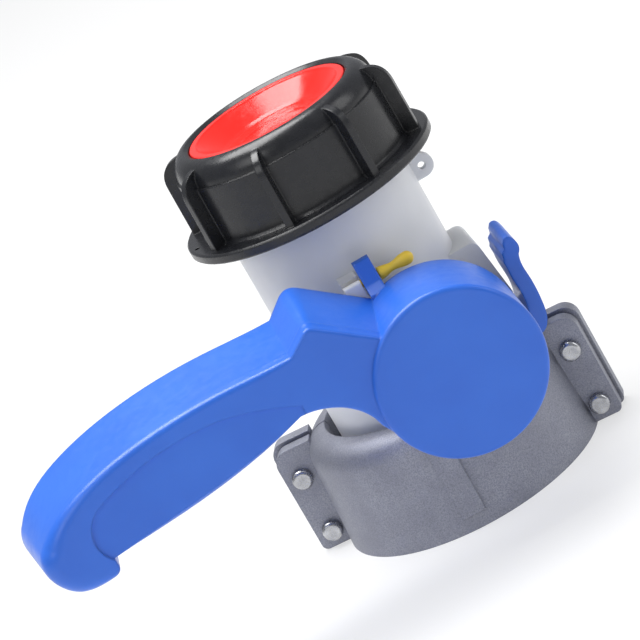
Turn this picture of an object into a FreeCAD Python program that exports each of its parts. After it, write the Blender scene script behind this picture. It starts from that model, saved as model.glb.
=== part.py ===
"""IBC tank valve, DN 50, with lever, cap and two-part tank clamp. Millimetres.

Frame: origin at the centre of the clamp's base, +Z along the flow towards the cap,
the lever's hub towards -Y and, with the valve closed, the lever towards -X.
"""
import os
import FreeCAD
import Part
from FreeCAD import Vector as V
from math import cos, pi, radians, sin, sqrt

# ---- driving dimensions -------------------------------------------------------------
# main tube and flow path
tube_r = 30.0
bore_r = 25.6
inlet_bore_r = 27.5
spout_root_r = 28.5          # core of the outlet's thread
spout_thread_h = 18.0
spout_top_z = 130.7
flange_r = 38.0
flange_t = 7.3
gap = 0.3                    # clearance between separate bodies that don't run on each other
fit = 0.05                   # radial running fit
seat_gap = 0.2               # between parts that are fitted together and stay still

# clamp
clamp_h = 38.0
clamp_base_r = 44.0
clamp_top_r = 42.2
clamp_shoulder_r = 9.0
clamp_hole_r = 32.6
clamp_lip_r = 34.0
clamp_lip_t = 4.6
clamp_split = 1.0
clamp_turn = -13.6           # the ears stand turned about the flow axis, degrees
neck_flange_t = 10.0         # thickness of the tank's own flange, held below the gasket
gasket_t = 2.5
ear_reach = 53.0
ear_t = 5.0
ear_h = 36.4
ear_corner_r = 5.0
ear_rim = 1.0
strip_w = 7.9
strip_proud = 1.2
strip_angle = -99.0          # centre of the raised strip, degrees from +X
strip_z = (5.0, 31.0)
screw_at = 47.3
screw_z = (5.9, 25.7)
screw_r = 2.0
screw_head_r = 3.4
screw_head_h = 2.5
nut_flats = 7.0
nut_t = 3.2
washer_r = 4.0
washer_t = 0.8
thread_past_nut = 1.5

# stem and closure disc
stem_x = 9.8
stem_z = 57.0
disc_r = 22.0
disc_rim_t = 2.0
disc_mid_t = 5.0
barrel_r = 7.0
barrel_half = 19.2
square = 9.0
stem_r = 6.0
trunnion_r = 5.0
trunnion_l = 12.0
seat_clear = 0.4
seat_lip_half_h = 3.0
seat_half_h = 9.0
seat_wall = 1.7
seat_pad_r = 8.0
retainer_h = 6.0
retainer_r = 24.6
boss_r = 13.0
boss_end_y = -52.0
bush_l = 9.0
bush_wall = 1.6
bush_flange_t = 1.2
ring_cord_r = 0.95
ring_y = (-31.5, -36.5)
rear_boss_r = 9.5
rear_wall = 2.4
clip_r = 9.0
clip_t = 1.0

# lever
lever_rear_y = -43.0
hub_front_y = -75.0
grip_front_y = -73.6
hub_r = 26.5
hub_wall = 3.0
hub_face_t = 3.6
hub_edge_r = 1.5
socket_r = 9.5
socket_l = 14.0
grip_wall = 3.0
rib_t = 2.2
rib_count = 5
recess_depth = 1.0
tab_w = 5.4
tab_x = -8.7                 # centre of the tab, from the stem
tab_top = 34.6

# lock pin, through the tab and the body's lug
pin_y = -39.0
pin_up = 28.1                # above the stem
pin_r = 1.3
pin_tip_r = 1.6
pin_head_r = 2.1
pin_waist_r = 1.35
pin_tip_x = -16.8            # from the stem
pin_end_x = 6.0
lug_w = 5.6

# latch on the body's right side
latch_y = (-30.0, -8.0)
latch_pivot = (35.6, 43.4)
latch_knuckle_r = 4.0
latch_pin_r = 1.5
latch_lug_y = (-23.5, -14.5)
strike_y = (-15.0, 9.0)
strike_z = (50.5, 71.5)
strike_x = (38.2, 35.4)      # reach of its right face at the bottom and at the top

# eye lug
eye_x = 33.2
eye_z = 96.9
eye_r = 1.2
eye_lug_r = 3.9
eye_lug_t = 2.6

# outlet cap
cap_z = 107.5
cap_flange_r = 42.0
cap_flange_t = 3.4
cap_barrel_r = 35.2
cap_ledge_z = 130.0
cap_dome_r = 34.2
cap_top_z = 137.2
cap_crest_r = 28.6
cap_hole_r = 27.3
cap_rib_count = 8
cap_rib_turn = -17.4         # first rib, degrees from -Y towards +X
cap_rib_r = 39.7
cap_rib_t = 2.4
cap_rib_top_z = 135.6
cap_wire_hole_r = 0.9
cap_gasket_t = 1.8
cap_gasket_hole_r = 25.2
insert_flange_t = 1.8
insert_rim_z = 136.5
insert_lip_w = 2.3
dish_floor_z = 130.0
dish_floor_r = 17.0
dish_wall = 2.0

# ---- places worked out from them ----------------------------------------------------
neck_top_z = clamp_lip_t + neck_flange_t
flange_z = neck_top_z + gasket_t
tube_groove_z = flange_z + flange_t + seat_gap
stem_axis = V(stem_x, 0, stem_z)
gland_r = stem_r + 0.35
pad_y = barrel_half + gap
seat_r = disc_r + seat_clear
tube_front_y = -sqrt(tube_r ** 2 - stem_x ** 2)
tube_back_y = -tube_front_y
rear_boss_y = pad_y + trunnion_l + 2.0 + rear_wall
cap_cavity_r = tube_r + gap
cap_seat_z = spout_top_z + cap_gasket_t
cap_cavity_z = cap_seat_z + insert_flange_t + seat_gap


# ---- helpers ------------------------------------------------------------------------
def save(shape, node):
    """Write one node's STEP file, after checking that its solids are sound."""
    if not shape.isValid() or shape.Volume <= 0:
        raise RuntimeError("unsound solid: " + node)
    shape.exportStep("parts/" + node + ".step")


def cyl_z(r, z0, z1, x=0.0, y=0.0):
    return Part.makeCylinder(r, z1 - z0, V(x, y, z0))


def cyl_y(r, y0, y1, x=stem_x, z=stem_z):
    return Part.makeCylinder(r, y1 - y0, V(x, y0, z), V(0, 1, 0))


def cyl_x(r, x0, x1, y, z):
    return Part.makeCylinder(r, x1 - x0, V(x0, y, z), V(1, 0, 0))


def box(x, y, z):
    return Part.makeBox(x[1] - x[0], y[1] - y[0], z[1] - z[0], V(x[0], y[0], z[0]))


def polygon(points):
    return Part.Face(Part.makePolygon(points + points[:1]))


def revolve_z(points):
    """Revolve a straight-sided profile of (r, z) points about Z."""
    return polygon([V(r, 0, z) for r, z in points]).revolve(V(0, 0, 0), V(0, 0, 1), 360)


def line(a, b):
    return Part.LineSegment(a, b).toShape()


def arc(a, mid, b):
    return Part.Arc(a, mid, b).toShape()


def spline(points):
    curve = Part.BSplineCurve()
    curve.interpolate(points)
    return curve.toShape()


def turned(shape, degrees):
    """A copy turned about the flow axis."""
    copy = shape.copy()
    copy.rotate(V(0, 0, 0), V(0, 0, 1), degrees)
    return copy


def round_corner(a, corner, b, r):
    """Two lines a-corner-b with a fillet of radius r, as edges."""
    to_a = (a - corner).normalize()
    to_b = (b - corner).normalize()
    half = to_a.getAngle(to_b) / 2
    back = r / (sin(half) / cos(half))
    centre = corner + (to_a + to_b).normalize() * (r / sin(half))
    mid = centre + (corner - centre).normalize() * r
    start = corner + to_a * back
    end = corner + to_b * back
    return start, mid, end


def rounded_polygon(points, radii):
    """Face with straight sides and a radius at each corner (0 leaves it sharp)."""
    edges = []
    ends = []
    for i, corner in enumerate(points):
        if radii[i] > 0:
            ends.append(round_corner(points[i - 1], corner, points[(i + 1) % len(points)], radii[i]))
        else:
            ends.append((corner, None, corner))
    for i, (start, mid, end) in enumerate(ends):
        if mid is not None:
            edges.append(arc(start, mid, end))
        following = ends[(i + 1) % len(ends)][0]
        if (following - end).Length > 1e-6:
            edges.append(line(end, following))
    return Part.Face(Part.Wire(edges))


def edges_where(shape, test):
    return [edge for edge in shape.Edges if test(edge)]


# ---- valve body ---------------------------------------------------------------------
def body_outside():
    tube = cyl_z(tube_r, flange_z, spout_top_z - spout_thread_h)
    spout = cyl_z(spout_root_r, flange_z, spout_top_z)
    flange = cyl_z(flange_r, flange_z, flange_z + flange_t)
    boss = cyl_y(boss_r, boss_end_y, 0)
    rear_boss = cyl_y(rear_boss_r, 0, rear_boss_y)
    rear_boss = rear_boss.makeFillet(1.2, edges_where(
        rear_boss, lambda e: e.BoundBox.YMin > rear_boss_y - 0.01))
    return tube.fuse([spout, flange, boss, rear_boss, strike_block(), pin_lug(), eye_lug(), latch_lug()])


def strike_block():
    """The block that the latch lies against: slanted right face, rounded top corner."""
    low, high = strike_z
    inside = tube_r * 0.5
    outline = rounded_polygon(
        [V(inside, strike_y[0], low), V(strike_x[0], strike_y[0], low),
         V(strike_x[1], strike_y[0], high), V(inside, strike_y[0], high)], [0, 0.8, 3.0, 0])
    return outline.extrude(V(0, strike_y[1] - strike_y[0], 0))


def pin_lug():
    """Lug beside the lever's tab, with a slot open at the top for the lock pin's end."""
    right = stem_x + tab_x - tab_w / 2 - gap - 0.2
    left = right - lug_w
    z_pin = stem_z + pin_up
    lug = box((left, right), (lever_rear_y + 0.6, -tube_r * 0.8), (z_pin - 6.0, z_pin + 2.2))
    lug = lug.makeFillet(1.0, edges_where(
        lug, lambda e: e.BoundBox.XLength > 1 and e.BoundBox.ZMin > z_pin and e.BoundBox.YMax < pin_y))
    slot = box((left - 1, right + 1), (pin_y - pin_tip_r - 0.35, pin_y + pin_tip_r + 0.35),
               (z_pin - pin_tip_r - 0.4, z_pin + 5))
    return lug.cut(slot)


def eye_lug():
    """Flat lug under the cap with an eye for a tether or seal wire."""
    half = eye_lug_t / 2
    top = cap_z - 1.0
    reach = eye_x + eye_lug_r
    inside = tube_r * 0.9
    outline = Part.Face(Part.Wire([
        line(V(inside, -half, eye_z - eye_lug_r), V(eye_x, -half, eye_z - eye_lug_r)),
        arc(V(eye_x, -half, eye_z - eye_lug_r), V(reach, -half, eye_z), V(eye_x, -half, eye_z + eye_lug_r)),
        line(V(eye_x, -half, eye_z + eye_lug_r), V(inside, -half, top)),
        line(V(inside, -half, top), V(inside, -half, eye_z - eye_lug_r))]))
    plate = outline.extrude(V(0, eye_lug_t, 0))
    return plate.cut(cyl_y(eye_r, -eye_lug_t, eye_lug_t, eye_x, eye_z))


def latch_lug():
    """Lug on the body's right side that carries the latch's pin."""
    x, z = latch_pivot
    y0, y1 = latch_lug_y
    r = latch_knuckle_r
    arm = box((tube_r * 0.5, x), (y0, y1), (z - r, z + r))
    return arm.fuse(cyl_y(r, y0, y1, x, z)).cut(cyl_y(latch_pin_r + fit, y0 - 1, y1 + 1, x, z))


def body_inside():
    """The flow path, the seat's counterbore and the stem's bores, as one cutter."""
    seat_top = stem_z + seat_half_h
    path = cyl_z(bore_r, flange_z - 1, spout_top_z + 1)
    inlet = cyl_z(inlet_bore_r, flange_z - 1, seat_top)
    gland = cyl_y(gland_r, boss_end_y - 1, 0)
    bush_seat = cyl_y(stem_r + bush_wall, boss_end_y - 1, boss_end_y + bush_l)
    blind = cyl_y(trunnion_r + bush_wall, 0, pad_y + trunnion_l + 2.0)
    return path.fuse([inlet, gland, bush_seat, blind])


def valve_body():
    return body_outside().cut(body_inside()).removeSplitter()


# ---- seat and closure ---------------------------------------------------------------
def seat_ring():
    """Soft sleeve with a sealing lip round the disc and a flat pad at each end of its barrel."""
    low, high = stem_z - seat_half_h, stem_z + seat_half_h
    outside = inlet_bore_r - seat_gap / 4
    lip_low, lip_high = stem_z - seat_lip_half_h, stem_z + seat_lip_half_h
    inside = outside - seat_wall
    ring = revolve_z([(outside, low), (outside, high), (inside, high), (inside, lip_high + 2.0),
                      (seat_r + 0.6, lip_high), (seat_r, lip_high - 1.0), (seat_r, lip_low + 1.0),
                      (seat_r + 0.6, lip_low), (inside, lip_low - 2.0), (inside, low)])
    shell = cyl_z(outside, low, high)
    pads = cyl_y(seat_pad_r, -tube_r, -pad_y).fuse(cyl_y(seat_pad_r, pad_y, tube_r)).common(shell)
    barrel_space = cyl_y(barrel_r + gap, -pad_y, pad_y)
    holes = cyl_y(gland_r, -tube_r, 0).fuse(cyl_y(trunnion_r + gap, 0, tube_r))
    return ring.cut(barrel_space).fuse(pads).cut(holes).removeSplitter()


def seat_retainer():
    """Ring pushed in from the inlet that holds the seat up against its shoulder."""
    top = stem_z - seat_half_h
    low = top - retainer_h
    outside = inlet_bore_r - seat_gap / 4
    return revolve_z([(retainer_r, low + 1.0), (retainer_r + 1.0, low), (outside, low),
                      (outside, top), (retainer_r, top)])


def closure_disc():
    """Lens-shaped disc, offset from the stem, with the barrel that the stem goes through."""
    rim, mid = disc_rim_t / 2, disc_mid_t / 2
    lens = revolve_z([(0, stem_z - mid), (disc_r * 0.55, stem_z - mid), (disc_r, stem_z - rim),
                      (disc_r, stem_z + rim), (disc_r * 0.55, stem_z + mid), (0, stem_z + mid)])
    relief = cyl_y(seat_pad_r + gap, -tube_r, -barrel_half).fuse(
        cyl_y(seat_pad_r + gap, barrel_half, tube_r))
    barrel = cyl_y(barrel_r, -barrel_half, barrel_half)
    half = square / 2 + fit
    hole = box((stem_x - half, stem_x + half), (-tube_r, tube_r), (stem_z - half, stem_z + half))
    return lens.cut(relief).fuse(barrel).cut(hole).removeSplitter()


def stem():
    half = square / 2
    front = lever_rear_y - (hub_length() - hub_face_t) + 0.5
    square_bar = box((stem_x - half, stem_x + half), (front, barrel_half), (stem_z - half, stem_z + half))
    square_bar = square_bar.common(cyl_y(stem_r - 0.2, front, barrel_half))
    journal = cyl_y(stem_r, boss_end_y - 0.5, -barrel_half)
    trunnion = cyl_y(trunnion_r, barrel_half, pad_y + trunnion_l + 1.0)
    bar = square_bar.fuse([journal, trunnion])
    for y in ring_y:
        groove = cyl_y(stem_r + 1, y - 1.3, y + 1.3).cut(cyl_y(gland_r - 2 * ring_cord_r - fit, y - 1.3, y + 1.3))
        bar = bar.cut(groove)
    clip_y = boss_end_y - 0.5 - clip_t
    groove = cyl_y(stem_r + 1, clip_y - 0.1, clip_y + clip_t + 0.1).cut(
        cyl_y(square / 2, clip_y - 0.1, clip_y + clip_t + 0.1))
    return bar.cut(groove)


def hub_length():
    return lever_rear_y - hub_front_y


def stem_o_rings():
    rings = [Part.makeTorus(gland_r - fit - ring_cord_r, ring_cord_r, V(stem_x, y, stem_z), V(0, 1, 0))
             for y in ring_y]
    return Part.makeCompound(rings)


def stem_bush():
    """Flanged bearing bush in the mouth of the boss."""
    outside = stem_r + bush_wall - fit / 2
    sleeve = cyl_y(outside, boss_end_y, boss_end_y + bush_l)
    return sleeve.cut(cyl_y(stem_r + fit, boss_end_y - 1, boss_end_y + bush_l + 1))


def rear_bush():
    """Plain bush for the trunnion, in the blind bore behind the disc."""
    y0, y1 = bore_back_y() + 0.5, pad_y + trunnion_l + 2.0 - 0.2
    outside = trunnion_r + bush_wall - fit / 2
    return cyl_y(outside, y0, y1).cut(cyl_y(trunnion_r + fit, y0 - 1, y1 + 1))


def bore_back_y():
    """Where the seat's outside ends, beside the trunnion."""
    return sqrt(inlet_bore_r ** 2 - (stem_x - trunnion_r - bush_wall) ** 2)


def stem_clip():
    """Spring clip in the stem's groove, in front of the boss."""
    y0 = boss_end_y - 0.5 - clip_t
    ring = cyl_y(clip_r, y0, y0 + clip_t).cut(cyl_y(square / 2 + fit, y0 - 1, y0 + clip_t + 1))
    opening = box((stem_x - 3.4, stem_x + 3.4), (y0 - 1, y0 + clip_t + 1), (stem_z - clip_r - 1, stem_z))
    return ring.cut(opening)


# ---- lever --------------------------------------------------------------------------
# The lever is an open-backed moulding. Each point of its outline is given from the stem as
# (x, z) on the front face, then how far it stands out at the open back because of the draft,
# and the radius that rounds the front edge there.
def point(x, z, out_x, out_z, r):
    return (x, z, out_x, out_z, r)


NECK_SLOPE = [point(-3.0, 11.4, 2.6, 3.2, 0.8), point(-31.3, 34.2, 2.2, 4.2, 0.8)]
NECK_CREST = [point(-31.3, 34.2, 2.2, 4.2, 0.8), point(-33.3, 34.9, 0.6, 4.8, 0.8),
              point(-35.2, 34.0, -0.2, 4.6, 0.8)]
NECK_VALLEY = [point(-35.2, 34.0, -0.2, 4.6, 0.8), point(-41.4, 29.9, 0.2, 4.0, 0.8)]
GRIP_TOP = [point(-41.4, 29.9, 0.2, 4.0, 0.8), point(-48.6, 30.2, 0.0, 4.0, 1.2),
            point(-65.2, 31.3, 0.0, 4.1, 1.4), point(-81.9, 31.2, -0.1, 4.3, 1.6),
            point(-98.5, 29.7, -0.6, 4.2, 1.8), point(-115.3, 25.7, -1.6, 4.1, 2.4),
            point(-125.3, 21.0, -3.0, 3.6, 3.6), point(-131.6, 15.8, -4.0, 2.0, 5.0)]
GRIP_END = [point(-131.6, 15.8, -4.0, 2.0, 5.0), point(-134.6, 9.8, -3.8, 0.2, 5.0),
            point(-133.2, 3.8, -2.4, -1.4, 5.0), point(-128.8, -0.9, -0.8, -2.2, 5.0),
            point(-123.0, -2.1, 0.0, -2.4, 4.0), point(-117.6, -1.6, 0.4, -2.4, 2.5)]
HOOK_TIP = [point(-117.6, -1.6, 0.4, -2.4, 2.5), point(-115.6, -0.4, 0.6, -2.2, 1.6),
            point(-115.1, 1.8, 0.5, -2.0, 1.2)]
HOOK_INSIDE = [point(-115.1, 1.8, 0.5, -2.0, 1.2), point(-115.1, 3.6, 0.5, -2.4, 2.0)]
GRIP_UNDER = [point(-115.1, 3.6, 0.5, -2.4, 2.0), point(-91.2, 4.6, 0.0, -3.0, 4.0),
              point(-74.2, 6.3, 0.0, -3.0, 4.0), point(-57.2, 9.6, 0.0, -2.6, 3.0),
              point(-47.2, 12.6, 0.0, -2.0, 1.4)]
NECK_UNDER = [point(-47.2, 12.6, 0.0, -2.0, 1.4), point(-37.0, 9.6, -0.6, -2.2, 1.2),
              point(-31.4, 5.0, -1.4, -1.8, 1.2), point(-27.7, -2.6, -1.8, -1.0, 1.2)]
NECK_FOOT = [point(-27.7, -2.6, -1.8, -1.0, 1.2), point(-22.0, -13.0, -1.0, -1.0, 0.8)]
HUB_INSIDE = [point(-22.0, -13.0, -1.0, -1.0, 0.8), point(-3.0, 11.4, 2.6, 3.2, 0.8)]
OUTLINE = [NECK_SLOPE, NECK_CREST, NECK_VALLEY, GRIP_TOP, GRIP_END, HOOK_TIP, HOOK_INSIDE,
           GRIP_UNDER, NECK_UNDER, NECK_FOOT, HUB_INSIDE]
DRAFT_DEPTH = grip_front_y - lever_rear_y       # negative: towards the front


def placed(p, depth):
    """Outline point at a depth behind the front face: the draft out, the edge radius in."""
    x, z, out_x, out_z, r = p
    share = depth / -DRAFT_DEPTH
    length = sqrt(out_x ** 2 + out_z ** 2)
    inset = r - sqrt(r ** 2 - (r - depth) ** 2) if depth < r else 0.0
    return V(stem_x + x + out_x * share - out_x / length * inset, grip_front_y + depth,
             stem_z + z + out_z * share - out_z / length * inset)


def section(depth, runs=OUTLINE):
    edges = []
    for run in runs:
        points = [placed(p, depth) for p in run]
        edges.append(line(*points) if len(points) == 2 else spline(points))
    return Part.Wire(edges)


def lever_shell():
    """Drafted sides as a ruled loft, and the rounded front edge as a smooth one."""
    deepest = max(p[4] for run in OUTLINE for p in run)
    sides = Part.makeLoft([section(-DRAFT_DEPTH), section(deepest)], True, True)
    steps = [1.0, 0.62, 0.32, 0.12, 0.03, 0.0]
    front = Part.makeLoft([section(deepest * s) for s in steps], True, False)
    return sides.fuse(front)


def hub():
    """Cup that opens to the back, with the square socket for the stem's head."""
    outside = cyl_y(hub_r, hub_front_y, lever_rear_y)
    outside = outside.makeFillet(hub_edge_r, edges_where(
        outside, lambda e: e.BoundBox.YMax < hub_front_y + 0.01))
    inner_face = hub_front_y + hub_face_t
    cup = cyl_y(hub_r - hub_wall, inner_face, lever_rear_y + 1)
    return outside, cup


def hub_socket():
    inner_face = hub_front_y + hub_face_t
    half = square / 2 + fit
    socket = cyl_y(socket_r, inner_face - 0.5, inner_face + socket_l)
    hole = box((stem_x - half, stem_x + half), (inner_face, inner_face + socket_l + 1),
               (stem_z - half, stem_z + half))
    return socket.cut(hole)


def tab():
    """Small tab on the hub's rim, leaning back at the top, bored for the lock pin."""
    front, back = lever_rear_y, pin_y + pin_tip_r + 1.4
    x0 = stem_x + tab_x - tab_w / 2
    profile = [(front - 3.0, hub_r - 2.6), (front - 3.0, hub_r - 1.4), (front + 0.1, pin_up - 0.4),
               (front + 3.2, tab_top), (front + 5.2, tab_top + 0.4), (back, pin_up + 2.4),
               (back, hub_r - 2.6)]
    outline = polygon([V(x0, y, stem_z + z) for y, z in profile])
    block = outline.extrude(V(tab_w, 0, 0))
    return block.cut(cyl_x(pin_tip_r + 0.15, x0 - 1, x0 + tab_w + 1, pin_y, stem_z + pin_up))


def grip_recess():
    """The finger side of the grip lies a little lower than the arch round it."""
    arch = [(-45.4, 15.6), (-57.0, 20.9), (-69.4, 24.4), (-81.9, 25.2), (-94.5, 24.2), (-107.0, 21.2),
            (-114.4, 17.8), (-117.3, 13.6), (-117.9, 9.2), (-116.9, 5.8), (-114.2, 2.6)]
    y = grip_front_y - 1
    points = [V(stem_x + x, y, stem_z + z) for x, z in arch]
    low_left = V(stem_x - 114.2, y, stem_z - 3)
    low_right = V(stem_x - 45.4, y, stem_z - 3)
    outline = Part.Face(Part.Wire([spline(points), line(points[-1], low_left),
                                   line(low_left, low_right), line(low_right, points[0])]))
    return outline.extrude(V(0, 1 + recess_depth, 0))


CORE_TOP = [point(-47.0, 26.4, 0.0, 4.0, 0.1), point(-65.2, 28.0, 0.0, 4.1, 0.1),
            point(-81.9, 27.9, -0.1, 4.3, 0.1), point(-98.5, 26.4, -0.6, 4.2, 0.1),
            point(-115.3, 22.0, -1.6, 4.1, 0.1), point(-128.6, 14.6, -3.6, 2.6, 0.1)]
CORE_END = [point(-128.6, 14.6, -3.6, 2.6, 0.1), point(-131.0, 9.0, -4.0, 0.2, 0.1),
            point(-127.6, 4.4, -1.4, -1.8, 0.1)]
CORE_UNDER = [point(-127.6, 4.4, -1.4, -1.8, 0.1), point(-114.0, 8.0, 0.0, -2.6, 0.1),
              point(-91.2, 9.0, 0.0, -3.0, 0.1), point(-74.2, 10.6, 0.0, -3.0, 0.1),
              point(-57.2, 13.8, 0.0, -2.6, 0.1), point(-47.0, 17.0, 0.0, -2.0, 0.1)]
CORE_NECK = [point(-47.0, 17.0, 0.0, -2.0, 0.1), point(-47.0, 26.4, 0.0, 4.0, 0.1)]


def grip_core():
    """The hollow behind the grip, cut into cells by the ribs."""
    wall = grip_wall + recess_depth
    runs = [CORE_TOP, CORE_END, CORE_UNDER, CORE_NECK]
    hollow = Part.makeLoft([section(1.0 - DRAFT_DEPTH, runs), section(wall, runs)], True, True)
    x0, x1 = stem_x + CORE_END[1][0] - 6, stem_x + CORE_NECK[0][0]
    pitch = (x1 - x0) / rib_count
    ribs = [box((x0 + pitch * i - rib_t / 2, x0 + pitch * i + rib_t / 2), (grip_front_y, lever_rear_y + 2),
                (stem_z - 10, stem_z + 50)) for i in range(1, rib_count)]
    return hollow.cut(Part.makeCompound(ribs))


def neck_core():
    """The hollow behind the neck, between the hub's wall and the grip."""
    y = grip_front_y + grip_wall
    outline = rounded_polygon([V(stem_x + x, y, stem_z + z) for x, z in
                               ((-24.5, 25.2), (-33.2, 31.6), (-43.0, 25.4), (-43.0, 17.6),
                                (-33.4, 12.8), (-28.6, 6.4))], [1.5, 3, 3, 2, 3, 1.5])
    hollow = outline.extrude(V(0, lever_rear_y + 1 - y, 0))
    return hollow.cut(cyl_y(hub_r, hub_front_y, lever_rear_y + 2))


def handle():
    outside, cup = hub()
    shell = lever_shell().cut([grip_recess(), grip_core()])
    solid = outside.fuse(shell).cut([cup, neck_core()])
    return solid.fuse([hub_socket(), tab()]).removeSplitter()


# ---- lock pin -----------------------------------------------------------------------
def lock_pin():
    """Break-off pin: barbed tip, plain shank, waist, and a rounded head to pull."""
    y, z = pin_y, stem_z + pin_up
    tab_right = stem_x + tab_x + tab_w / 2
    tip = stem_x + pin_tip_x
    end = stem_x + pin_end_x
    collar = tab_right + gap
    waist = collar + 4.6

    def at(x, r):
        return V(x, y, z + r)
    crown = end - pin_head_r
    corners = [at(tip, 0), at(tip, pin_tip_r - 0.5), at(tip + 0.9, pin_tip_r), at(tip + 1.8, pin_r),
               at(collar, pin_r), at(collar, pin_head_r)]
    edges = [line(a, b) for a, b in zip(corners, corners[1:])]
    edges += [spline([corners[-1], at(collar + 1.8, pin_head_r * 0.9), at(waist, pin_waist_r),
                      at(waist + 2.2, pin_head_r * 0.85), at(crown, pin_head_r)]),
              arc(at(crown, pin_head_r), at(end - pin_head_r * (1 - cos(pi / 4)), pin_head_r * sin(pi / 4)),
                  at(end, 0)),
              line(at(end, 0), at(tip, 0))]
    return Part.Face(Part.Wire(edges)).revolve(V(tip, y, z), V(1, 0, 0), 360)


# ---- latch --------------------------------------------------------------------------
def latch():
    """Thumb latch: knuckles on the pin, a slim arm and a stepped pad."""
    y = latch_y[0]
    px, pz = latch_pivot

    def at(x, z):
        return V(x, y, z)
    r = latch_knuckle_r
    outer = [at(px + 1.6, pz - r * 0.916), at(40.6, 40.6), at(42.6, 43.6), at(43.5, 48.0),
             at(43.8, 57.5), at(43.6, 62.5), at(44.3, 65.6)]
    steps = [at(41.9, 71.4), at(41.3, 70.6), at(41.0, 69.0), at(39.7, 68.0), at(39.4, 66.3),
             at(38.9, 65.4), at(39.0, 62.6)]
    inner = [at(39.0, 62.6), at(39.1, 56.0), at(38.9, 50.2), at(37.4, 46.8), at(px - 0.6, pz + r * 0.98)]
    edges = [spline(outer),
             spline([outer[-1], at(45.5, 68.2), at(45.2, 70.0), at(43.9, 71.9), at(42.6, 72.0), steps[0]])]
    edges += [line(a, b) for a, b in zip(steps, steps[1:])]
    edges += [spline(inner), line(inner[-1], outer[0])]
    arm = Part.Face(Part.Wire(edges)).extrude(V(0, latch_y[1] - y, 0))
    arm = arm.fuse(cyl_y(r, latch_y[0], latch_y[1], px, pz))
    y0, y1 = latch_lug_y
    space = cyl_y(r + 1.2, y0 - gap, y1 + gap, px, pz).fuse(
        box((px - 8, px), (y0 - gap, y1 + gap), (pz - r - 1, pz + r + 1)))
    hole = cyl_y(latch_pin_r + fit, latch_y[0] - 1, latch_y[1] + 1, px, pz)
    return arm.cut([space, hole])


def latch_pin():
    x, z = latch_pivot
    return cyl_y(latch_pin_r, latch_y[0] - 0.4, latch_y[1] + 0.4, x, z)


# ---- clamp --------------------------------------------------------------------------
def clamp_ring():
    """Full ring before it is split: tapered wall, rounded shoulder, groove for the flanges."""
    r = clamp_shoulder_r
    shoulder_z = clamp_h - r
    crown = clamp_top_r - r
    wall_top = V(clamp_top_r, 0, shoulder_z)
    edges = [line(V(clamp_lip_r, 0, 0), V(clamp_base_r, 0, 0)),
             line(V(clamp_base_r, 0, 0), wall_top),
             arc(wall_top, V(crown + r * sin(pi / 4), 0, shoulder_z + r * cos(pi / 4)), V(crown, 0, clamp_h))]
    inner = [V(crown, 0, clamp_h), V(clamp_hole_r, 0, clamp_h - 1.6), V(clamp_hole_r, 0, tube_groove_z),
             V(flange_r + gap, 0, tube_groove_z), V(flange_r + gap, 0, clamp_lip_t),
             V(clamp_lip_r, 0, clamp_lip_t), V(clamp_lip_r, 0, 0)]
    if crown - clamp_hole_r > 0.2:
        edges += [line(a, b) for a, b in zip(inner, inner[1:])]
    return Part.Face(Part.Wire(edges)).revolve(V(0, 0, 0), V(0, 0, 1), 360)


def ear_pair(side, rim):
    """One half's two ears, on its side of the split: side -1 is the front half."""
    near, far = clamp_split / 2, clamp_split / 2 + ear_t
    y0, y1 = (-far, -near) if side < 0 else (near, far)
    ears = []
    reach = ear_reach + rim
    for end in (-1, 1):
        inside, outside = end * (flange_r + 1.5), end * reach
        outline = rounded_polygon(
            [V(inside, y0, 0.4), V(outside, y0, 0.4), V(outside, y0, ear_h + rim), V(inside, y0, ear_h + rim)],
            [0, 2.0, ear_corner_r, 0])
        ear = outline.extrude(V(0, y1 - y0, 0))
        for z in screw_z:
            ear = ear.cut(cyl_y(screw_r + 0.2, y0 - 1, y1 + 1, end * screw_at, z))
        ears.append(ear)
    return ears


def clamp_half(side):
    ring = clamp_ring()
    keep = box((-100, 100), (-100, -clamp_split / 2) if side < 0 else (clamp_split / 2, 100), (-1, 100))
    half = ring.common(keep)
    ears = ear_pair(side, 0.0 if side < 0 else ear_rim)
    half = half.fuse(ears)
    half = half.cut(cyl_z(flange_r + gap, clamp_lip_t, tube_groove_z))
    half = turned(half, clamp_turn)
    if side < 0:
        half = half.fuse(raised_strip())
    return half.removeSplitter()


def raised_strip():
    """Flat raised strip down the front half's wall."""
    z0, z1 = strip_z
    outside = clamp_base_r - (clamp_base_r - clamp_top_r) * z0 / (clamp_h - clamp_shoulder_r) + strip_proud
    top_outside = clamp_top_r + strip_proud
    strip = box((flange_r + 1.5, outside), (-strip_w / 2, strip_w / 2), (z0, z1))
    taper = polygon([V(outside, -strip_w, z0), V(outside + 5, -strip_w, z0), V(outside + 5, -strip_w, z1 + 1),
                     V(top_outside, -strip_w, z1 + 1)]).extrude(V(0, 2 * strip_w, 0))
    return turned(strip.cut(taper), strip_angle)


def screw_places():
    return [(end * screw_at, z) for end in (-1, 1) for z in screw_z]


def clamp_screws():
    """Pan heads on the front ears, shanks through both ears, washer and nut."""
    head_y = -(clamp_split / 2 + ear_t)
    tail_y = -head_y + washer_t + nut_t + thread_past_nut
    screws = []
    for x, z in screw_places():
        head = cyl_y(screw_head_r, head_y - screw_head_h, head_y, x, z)
        head = head.makeFillet(1.3, edges_where(
            head, lambda e: e.BoundBox.YMax < head_y - screw_head_h + 0.01))
        shank = cyl_y(screw_r, head_y, tail_y, x, z)
        shank = shank.makeChamfer(0.4, edges_where(shank, lambda e: e.BoundBox.YMin > tail_y - 0.01))
        screws.append(turned(head.fuse(shank).removeSplitter(), clamp_turn))
    return Part.makeCompound(screws)


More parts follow.
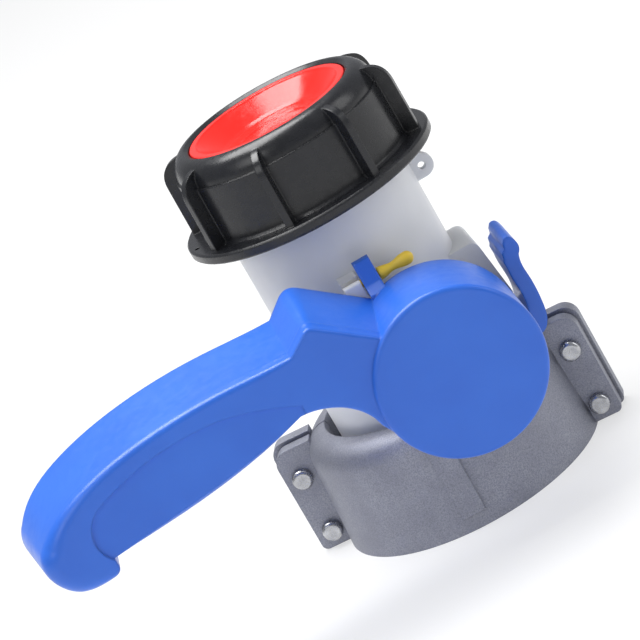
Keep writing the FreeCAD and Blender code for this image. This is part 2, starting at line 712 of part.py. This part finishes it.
def clamp_washers():
    y0 = clamp_split / 2 + ear_t
    rings = [turned(cyl_y(washer_r, y0, y0 + washer_t, x, z).cut(
        cyl_y(screw_r + 0.15, y0 - 1, y0 + washer_t + 1, x, z)), clamp_turn) for x, z in screw_places()]
    return Part.makeCompound(rings)


def clamp_nuts():
    y0 = clamp_split / 2 + ear_t + washer_t
    corner = nut_flats / 2 / cos(pi / 6)
    nuts = []
    for x, z in screw_places():
        hexagon = polygon([V(x + corner * cos(radians(60 * i)), y0, z + corner * sin(radians(60 * i)))
                           for i in range(6)])
        nut = hexagon.extrude(V(0, nut_t, 0)).cut(cyl_y(screw_r + 0.02, y0 - 1, y0 + nut_t + 1, x, z))
        nuts.append(turned(nut, clamp_turn))
    return Part.makeCompound(nuts)


def inlet_gasket():
    return revolve_z([(inlet_bore_r, neck_top_z), (flange_r - 0.5, neck_top_z),
                      (flange_r - 0.5, flange_z), (inlet_bore_r, flange_z)])


# ---- outlet cap ---------------------------------------------------------------------
def cap_ring():
    """Ribbed ring with a wide flange; its inner lip bears on the red insert's flange."""
    top_of_flange = cap_z + cap_flange_t
    hole_edge = V(cap_hole_r, 0, cap_top_z - 0.9)
    crest = V(cap_crest_r, 0, cap_top_z)
    dome = []
    for i in range(6):
        turn = pi / 2 * i / 5
        dome.append(V(cap_crest_r + (cap_dome_r - cap_crest_r) * cos(turn), 0,
                      cap_ledge_z + (cap_top_z - cap_ledge_z) * sin(turn)))
    rows = [V(cap_cavity_r, 0, cap_z), V(cap_flange_r - 0.5, 0, cap_z), V(cap_flange_r, 0, cap_z + 0.5),
            V(cap_flange_r, 0, top_of_flange - 0.6), V(cap_flange_r - 0.6, 0, top_of_flange),
            V(cap_barrel_r + 0.8, 0, top_of_flange), V(cap_barrel_r, 0, top_of_flange + 0.8),
            V(cap_barrel_r - 0.3, 0, cap_ledge_z), dome[0]]
    edges = [line(a, b) for a, b in zip(rows, rows[1:])]
    edges += [spline(dome), line(crest, hole_edge), line(hole_edge, V(cap_hole_r, 0, cap_cavity_z)),
              line(V(cap_hole_r, 0, cap_cavity_z), V(cap_cavity_r, 0, cap_cavity_z)),
              line(V(cap_cavity_r, 0, cap_cavity_z), V(cap_cavity_r, 0, cap_z))]
    ring = Part.Face(Part.Wire(edges)).revolve(V(0, 0, 0), V(0, 0, 1), 360)
    ring = ring.fuse([turned(cap_rib(), cap_rib_turn + 360.0 / cap_rib_count * i) for i in range(cap_rib_count)])
    wire_hole = cyl_z(cap_wire_hole_r, cap_z - 1, top_of_flange + 1, -(cap_flange_r - 2.4) * cos(radians(8)),
                      -(cap_flange_r - 2.4) * sin(radians(8)))
    return ring.cut(wire_hole).removeSplitter()


def cap_rib():
    """Grip rib towards -Y: straight edge, curving in to the dome at the top."""
    x = -cap_rib_t / 2
    foot = V(x, -cap_rib_r, cap_z + cap_flange_t - 0.5)
    bend = V(x, -cap_rib_r + 0.2, cap_rib_top_z - 8.0)
    tip = V(x, -(cap_dome_r - 2.0), cap_rib_top_z)
    inside = -(cap_cavity_r + 1.2)
    low_inside = V(x, inside, cap_z + cap_flange_t - 0.5)
    high_inside = V(x, inside, cap_rib_top_z - 1.2)
    mid = V(x, -cap_rib_r + 1.9, cap_rib_top_z - 2.6)
    outline = Part.Face(Part.Wire([line(low_inside, foot), line(foot, bend), spline([bend, mid, tip]),
                                   line(tip, high_inside), line(high_inside, low_inside)]))
    return outline.extrude(V(cap_rib_t, 0, 0))


def cap_insert():
    """Red dished disc, clamped between the ring's lip and the gasket."""
    rim_r = cap_hole_r - 0.4
    flange_top = cap_seat_z + insert_flange_t
    inner_rim = rim_r - insert_lip_w
    plug_r = cap_gasket_hole_r - 0.4
    floor = dish_floor_z
    under = floor - dish_wall
    profile = [(0, under), (dish_floor_r, under), (dish_floor_r + 2.2, under + 0.6), (plug_r, cap_seat_z),
               (tube_r - 0.4, cap_seat_z), (tube_r - 0.4, flange_top), (rim_r, flange_top),
               (rim_r, insert_rim_z - 0.3), (rim_r - 0.3, insert_rim_z), (inner_rim, insert_rim_z),
               (inner_rim - 0.4, insert_rim_z - 0.5), (dish_floor_r + 1.2, floor + 1.0), (dish_floor_r, floor + 0.3),
               (12.4, floor), (12.0, floor - 0.4), (7.4, floor - 0.4), (7.0, floor), (3.2, floor),
               (2.8, floor + 0.5), (0, floor + 0.5)]
    return revolve_z(profile)


def cap_gasket():
    return revolve_z([(cap_gasket_hole_r, spout_top_z), (tube_r - 0.4, spout_top_z),
                      (tube_r - 0.4, cap_seat_z), (cap_gasket_hole_r, cap_seat_z)])


# ---- all nodes ----------------------------------------------------------------------
NODES = {
    "valve_body": valve_body, "seat_ring": seat_ring, "seat_retainer": seat_retainer,
    "closure_disc": closure_disc, "stem": stem, "stem_o_rings": stem_o_rings, "stem_bush": stem_bush,
    "rear_bush": rear_bush, "stem_clip": stem_clip, "handle": handle, "lock_pin": lock_pin,
    "latch": latch, "latch_pin": latch_pin, "clamp_screws": clamp_screws,
    "clamp_washers": clamp_washers, "clamp_nuts": clamp_nuts, "inlet_gasket": inlet_gasket,
    "cap_ring": cap_ring, "cap_insert": cap_insert, "cap_gasket": cap_gasket,
}


def main():
    os.makedirs("parts", exist_ok=True)
    for node, make in NODES.items():
        save(make(), node)
    save(clamp_half(-1), "clamp_front")
    save(clamp_half(1), "clamp_rear")


main()
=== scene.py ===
"""Looks of the IBC tank valve: materials, studio and camera.

The CAD frame is in metres, +Z along the flow, lever hub towards -Y, lever towards -X.
Every shape is the CAD's own; the small edge radii of the mouldings are in the shading.
"""
import math

import bpy
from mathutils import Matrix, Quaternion, Vector


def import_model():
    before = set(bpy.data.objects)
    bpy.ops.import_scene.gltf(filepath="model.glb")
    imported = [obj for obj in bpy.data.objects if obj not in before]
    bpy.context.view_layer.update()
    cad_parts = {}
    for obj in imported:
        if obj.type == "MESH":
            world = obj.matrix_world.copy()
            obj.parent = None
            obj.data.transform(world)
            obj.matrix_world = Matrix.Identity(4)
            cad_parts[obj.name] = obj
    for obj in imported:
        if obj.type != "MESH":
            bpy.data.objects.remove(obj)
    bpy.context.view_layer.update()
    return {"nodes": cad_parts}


MM = 0.001

FLOOR_HALF = 4.0             # metres
FLOOR_WHITE = 0.62           # share of the camera's floor that is plain white, the rest takes the shadow
FLOOR_GREYS = ((0.80, 0.80, 0.80, 1), (0.82, 0.82, 0.82, 1))
PURE_WHITE = (1, 1, 1, 1)
ROOM_COLOUR = (0.93, 0.95, 1.0, 1)
ROOM_STRENGTH = 0.38

LIGHTS_AIM = (0, 0, 0.07)
SOFTBOXES = (                # name, place, width, height, watts
    ("overhead", (-0.2, 0.25, 1.25), 1.0, 0.8, 24),
    ("front_left", (-1.0, -1.1, 0.9), 0.8, 0.8, 5),
    ("right", (1.3, -0.3, 0.7), 0.6, 0.9, 4),
)

SENSOR_MM = 36.0
LENS_MM = 213.84
CAMERA_TARGET_MM = (-17.7, 0, 69.8)
CAMERA_DISTANCE = 1.1802     # metres
CAMERA_AZIMUTH, CAMERA_ELEVATION, CAMERA_LEAN = -0.6, 17.16, 30   # degrees
CLIP_START, CLIP_END = 0.05, 20

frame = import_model()
nodes = frame["nodes"]


# ---- material helpers ---------------------------------------------------------------
def srgb(red, green, blue):
    """A colour given as 0-255 display values, as the linear colour that shaders take."""
    def linear(v):
        v = v / 255
        return v / 12.92 if v <= 0.04045 else ((v + 0.055) / 1.055) ** 2.4
    return (linear(red), linear(green), linear(blue), 1.0)


class Surface:
    """A procedural material: wraps the node tree so that each finish reads as a short list."""

    def __init__(self, name, roughness=0.5, metallic=0.0):
        self.material = bpy.data.materials.new(name)
        self.material.use_nodes = True
        self.tree = self.material.node_tree
        self.shader = self.tree.nodes["Principled BSDF"]
        self.shader.inputs["Roughness"].default_value = roughness
        self.shader.inputs["Metallic"].default_value = metallic
        self.normal = None

    def node(self, kind, **settings):
        made = self.tree.nodes.new(kind)
        for key, value in settings.items():
            setattr(made, key, value)
        return made

    def link(self, output, target):
        self.tree.links.new(output, target)

    def noise(self, size_mm, detail=3.0, roughness=0.5):
        """Noise of about this grain size, in the piece's own coordinates."""
        made = self.node("ShaderNodeTexNoise")
        made.inputs["Scale"].default_value = 1 / (size_mm * MM)
        made.inputs["Detail"].default_value = detail
        made.inputs["Roughness"].default_value = roughness
        where = self.node("ShaderNodeTexCoord")
        self.link(where.outputs["Object"], made.inputs["Vector"])
        return made.outputs["Fac"]

    def span(self, value, low, high, to_low, to_high):
        made = self.node("ShaderNodeMapRange")
        self.link(value, made.inputs["Value"])
        made.inputs["From Min"].default_value = low
        made.inputs["From Max"].default_value = high
        made.inputs["To Min"].default_value = to_low
        made.inputs["To Max"].default_value = to_high
        return made.outputs["Result"]

    def blend(self, share, first, second):
        """A colour between two, each given as a colour or as another node's output."""
        made = self.node("ShaderNodeMix", data_type="RGBA")
        self.link(share, made.inputs["Factor"])
        for socket, value in (("A", first), ("B", second)):
            target = [s for s in made.inputs if s.name == socket and s.type == "RGBA"][0]
            if isinstance(value, tuple):
                target.default_value = value
            else:
                self.link(value, target)
        return [s for s in made.outputs if s.type == "RGBA"][0]

    def mottle(self, value, low, high, first, second):
        """Base colour that goes from the first to the second as the value goes from low to high."""
        mixed = self.blend(self.span(value, low, high, 0, 1), first, second)
        self.link(mixed, self.shader.inputs["Base Color"])

    def vary_roughness(self, value, low, high):
        self.link(self.span(value, 0.3, 0.7, low, high), self.shader.inputs["Roughness"])

    def soften(self, radius_mm):
        """Round the shading of hard edges by a small radius."""
        bevel = self.node("ShaderNodeBevel", samples=6)
        bevel.inputs["Radius"].default_value = radius_mm * MM
        self.normal = bevel.outputs["Normal"]
        self.link(self.normal, self.shader.inputs["Normal"])

    def bump(self, height, depth_mm):
        made = self.node("ShaderNodeBump")
        made.inputs["Strength"].default_value = 1.0
        made.inputs["Distance"].default_value = depth_mm * MM
        self.link(height, made.inputs["Height"])
        if self.normal:
            self.link(self.normal, made.inputs["Normal"])
        self.normal = made.outputs["Normal"]
        self.link(self.normal, self.shader.inputs["Normal"])


# ---- materials ----------------------------------------------------------------------
def moulded_plastic(name, light, dark, roughness, edge_mm, grain_mm, depth_mm):
    """Injection-moulded plastic: faint flow marks in the colour, fine grain in the gloss."""
    s = Surface(name, roughness)
    s.mottle(s.noise(26, 3), 0.35, 0.65, dark, light)
    s.vary_roughness(s.noise(3.0, 4), roughness - 0.05, roughness + 0.06)
    s.soften(edge_mm)
    s.bump(s.noise(grain_mm, 3, 0.6), depth_mm)
    s.bump(s.noise(9.0, 2), 0.05)
    return s


def natural_polyethylene():
    """Milky, slightly see-through polyethylene."""
    s = Surface("natural_pe", 0.36)
    s.mottle(s.noise(30, 2), 0.35, 0.65, srgb(214, 216, 219), srgb(226, 227, 229))
    s.shader.inputs["Subsurface Weight"].default_value = 0.35
    s.shader.inputs["Subsurface Radius"].default_value = (0.9, 0.95, 1.0)
    s.shader.inputs["Subsurface Scale"].default_value = 0.004
    s.vary_roughness(s.noise(4.0, 4), 0.3, 0.42)
    s.soften(0.4)
    s.bump(s.noise(0.8, 3), 0.012)
    return s


def cast_aluminium():
    """Blasted casting: cloudy grey metal with darker grain."""
    s = Surface("clamp_metal", 0.5, 0.75)
    grain = s.noise(0.42, 4, 0.7)
    clouds = s.noise(14.0, 4, 0.6)
    base = s.blend(s.span(clouds, 0.3, 0.7, 0, 1), srgb(150, 152, 163), srgb(172, 174, 184))
    s.mottle(grain, 0.35, 0.62, srgb(126, 128, 140), base)
    s.vary_roughness(grain, 0.42, 0.62)
    s.soften(0.5)
    s.bump(s.noise(0.55, 4, 0.65), 0.07)
    s.bump(s.noise(3.0, 3), 0.05)
    return s


def bright_steel(name, tint, roughness):
    """Bright steel, darker in patches."""
    s = Surface(name, roughness, 1.0)
    r, g, b = tint
    s.mottle(s.noise(2.5, 4), 0.3, 0.7, srgb(r - 28, g - 28, b - 27), srgb(r, g, b))
    s.vary_roughness(s.noise(0.7, 4), roughness - 0.06, roughness + 0.12)
    s.soften(0.12)
    s.bump(s.noise(0.5, 3), 0.01)
    return s


def seal_rubber(name, shade):
    """Matt rubber in a grey given as one display value."""
    s = Surface(name, 0.6)
    s.mottle(s.noise(5.0, 4), 0.3, 0.7, srgb(*[shade] * 3), srgb(*[shade + 14] * 3))
    s.vary_roughness(s.noise(1.0, 3), 0.52, 0.7)
    s.bump(s.noise(0.3, 3), 0.02)
    return s


def plastic(name, light, dark, *finish):
    """Moulded plastic with its two colours in display values; finish: gloss, edge, grain, depth."""
    return moulded_plastic(name, srgb(*light), srgb(*dark), *finish)


BLUE = plastic("lever_blue", (44, 106, 212), (40, 100, 206), 0.33, 1.1, 0.7, 0.012)
BLACK = plastic("cap_black", (29, 30, 34), (24, 25, 28), 0.27, 0.6, 0.6, 0.010)
RED = plastic("insert_red", (240, 40, 30), (234, 34, 26), 0.18, 0.5, 1.2, 0.006)
YELLOW = plastic("pin_yellow", (246, 212, 74), (240, 202, 60), 0.38, 0.2, 0.5, 0.015)
WHITE = plastic("disc_plastic", (224, 226, 228), (214, 216, 219), 0.34, 0.3, 0.7, 0.012)
IVORY = plastic("bush_plastic", (230, 228, 214), (220, 217, 202), 0.38, 0.2, 0.6, 0.012)
NATURAL = natural_polyethylene()
CAST = cast_aluminium()
STEEL = bright_steel("zinc_steel", (196, 197, 200), 0.24)
SPRING = bright_steel("spring_steel", (170, 171, 175), 0.3)
SEAL = seal_rubber("seal_rubber", 26)
SEAT = seal_rubber("seat_rubber", 48)

FINISHES = {
    BLUE: ("handle", "latch"),
    BLACK: ("cap_ring",),
    RED: ("cap_insert",),
    YELLOW: ("lock_pin",),
    WHITE: ("closure_disc", "stem", "seat_retainer"),
    IVORY: ("stem_bush", "rear_bush"),
    NATURAL: ("valve_body",),
    CAST: ("clamp_front", "clamp_rear"),
    STEEL: ("clamp_screws", "clamp_nuts", "clamp_washers", "latch_pin"),
    SPRING: ("stem_clip",),
    SEAL: ("stem_o_rings", "inlet_gasket", "cap_gasket"),
    SEAT: ("seat_ring",),
}


def paint(obj, surface):
    obj.data.materials.clear()
    obj.data.materials.append(surface.material)


def finish_nodes():
    for surface, names in FINISHES.items():
        for name in names:
            paint(nodes[name], surface)


# ---- studio -------------------------------------------------------------------------
def into_scene(name, data):
    obj = bpy.data.objects.new(name, data)
    bpy.context.scene.collection.objects.link(obj)
    return obj


def seen_directly(s):
    """1 for camera, mirror and glass rays, else 0."""
    path = s.node("ShaderNodeLightPath")
    value = path.outputs["Is Camera Ray"]
    for name in ("Is Glossy Ray", "Is Transmission Ray"):
        either = s.node("ShaderNodeMath", operation="MAXIMUM")
        s.link(value, either.inputs[0])
        s.link(path.outputs[name], either.inputs[1])
        value = either.outputs["Value"]
    return value


def floor():
    """Pale floor: white to the camera with the object's shadow kept, plain diffuse to the light."""
    mesh = bpy.data.meshes.new("floor")
    h = FLOOR_HALF
    corners = [(-h, -h, 0), (h, -h, 0), (h, h, 0), (-h, h, 0)]
    mesh.from_pydata(corners, [], [(0, 1, 2, 3)])
    obj = into_scene("floor", mesh)
    s = Surface("floor", 0.9)
    s.mottle(s.noise(400, 2), 0.3, 0.7, *FLOOR_GREYS)
    glow = s.node("ShaderNodeEmission")
    glow.inputs["Color"].default_value = PURE_WHITE
    pale = s.node("ShaderNodeMixShader")
    pale.inputs["Fac"].default_value = FLOOR_WHITE
    s.link(s.shader.outputs["BSDF"], pale.inputs[1])
    s.link(glow.outputs["Emission"], pale.inputs[2])
    chosen = s.node("ShaderNodeMixShader")
    s.link(seen_directly(s), chosen.inputs["Fac"])
    s.link(s.shader.outputs["BSDF"], chosen.inputs[1])
    s.link(pale.outputs["Shader"], chosen.inputs[2])
    s.link(chosen.outputs["Shader"], s.tree.nodes["Material Output"].inputs["Surface"])
    paint(obj, s)


def world():
    """White to the camera; a plain soft grey room to everything else."""
    made = bpy.data.worlds.new("studio")
    made.use_nodes = True
    tree = made.node_tree
    back = tree.nodes["Background"]
    back.inputs["Color"].default_value = ROOM_COLOUR
    back.inputs["Strength"].default_value = ROOM_STRENGTH
    white = tree.nodes.new("ShaderNodeBackground")
    white.inputs["Color"].default_value = PURE_WHITE
    white.inputs["Strength"].default_value = 1.0
    path = tree.nodes.new("ShaderNodeLightPath")
    mix = tree.nodes.new("ShaderNodeMixShader")
    tree.links.new(path.outputs["Is Camera Ray"], mix.inputs["Fac"])
    tree.links.new(back.outputs["Background"], mix.inputs[1])
    tree.links.new(white.outputs["Background"], mix.inputs[2])
    tree.links.new(mix.outputs["Shader"], tree.nodes["World Output"].inputs["Surface"])
    bpy.context.scene.world = made


def softbox(name, place, width, height, power):
    data = bpy.data.lights.new(name, "AREA")
    data.shape = "RECTANGLE"
    data.size = width
    data.size_y = height
    data.energy = power
    obj = into_scene(name, data)
    obj.location = place
    towards = Vector(LIGHTS_AIM) - Vector(place)
    obj.rotation_euler = towards.to_track_quat("-Z", "Y").to_euler()


def camera():
    """A long lens, looking down a little on the hub's side, with the valve leaning left."""
    data = bpy.data.cameras.new("camera")
    data.sensor_width = SENSOR_MM
    data.lens = LENS_MM
    obj = into_scene("camera", data)
    azimuth, elevation = math.radians(CAMERA_AZIMUTH), math.radians(CAMERA_ELEVATION)
    away = Vector((math.sin(azimuth) * math.cos(elevation),
                   -math.cos(azimuth) * math.cos(elevation),
                   math.sin(elevation)))
    obj.location = Vector(CAMERA_TARGET_MM) * MM + away * CAMERA_DISTANCE
    obj.rotation_mode = "QUATERNION"
    lean = Quaternion((0, 0, 1), -math.radians(CAMERA_LEAN))
    obj.rotation_quaternion = away.to_track_quat("Z", "Y") @ lean
    data.clip_start = CLIP_START
    data.clip_end = CLIP_END
    bpy.context.scene.camera = obj


finish_nodes()
floor()
world()
for box in SOFTBOXES:
    softbox(*box)
camera()
bpy.context.scene.view_settings.view_transform = "Standard"
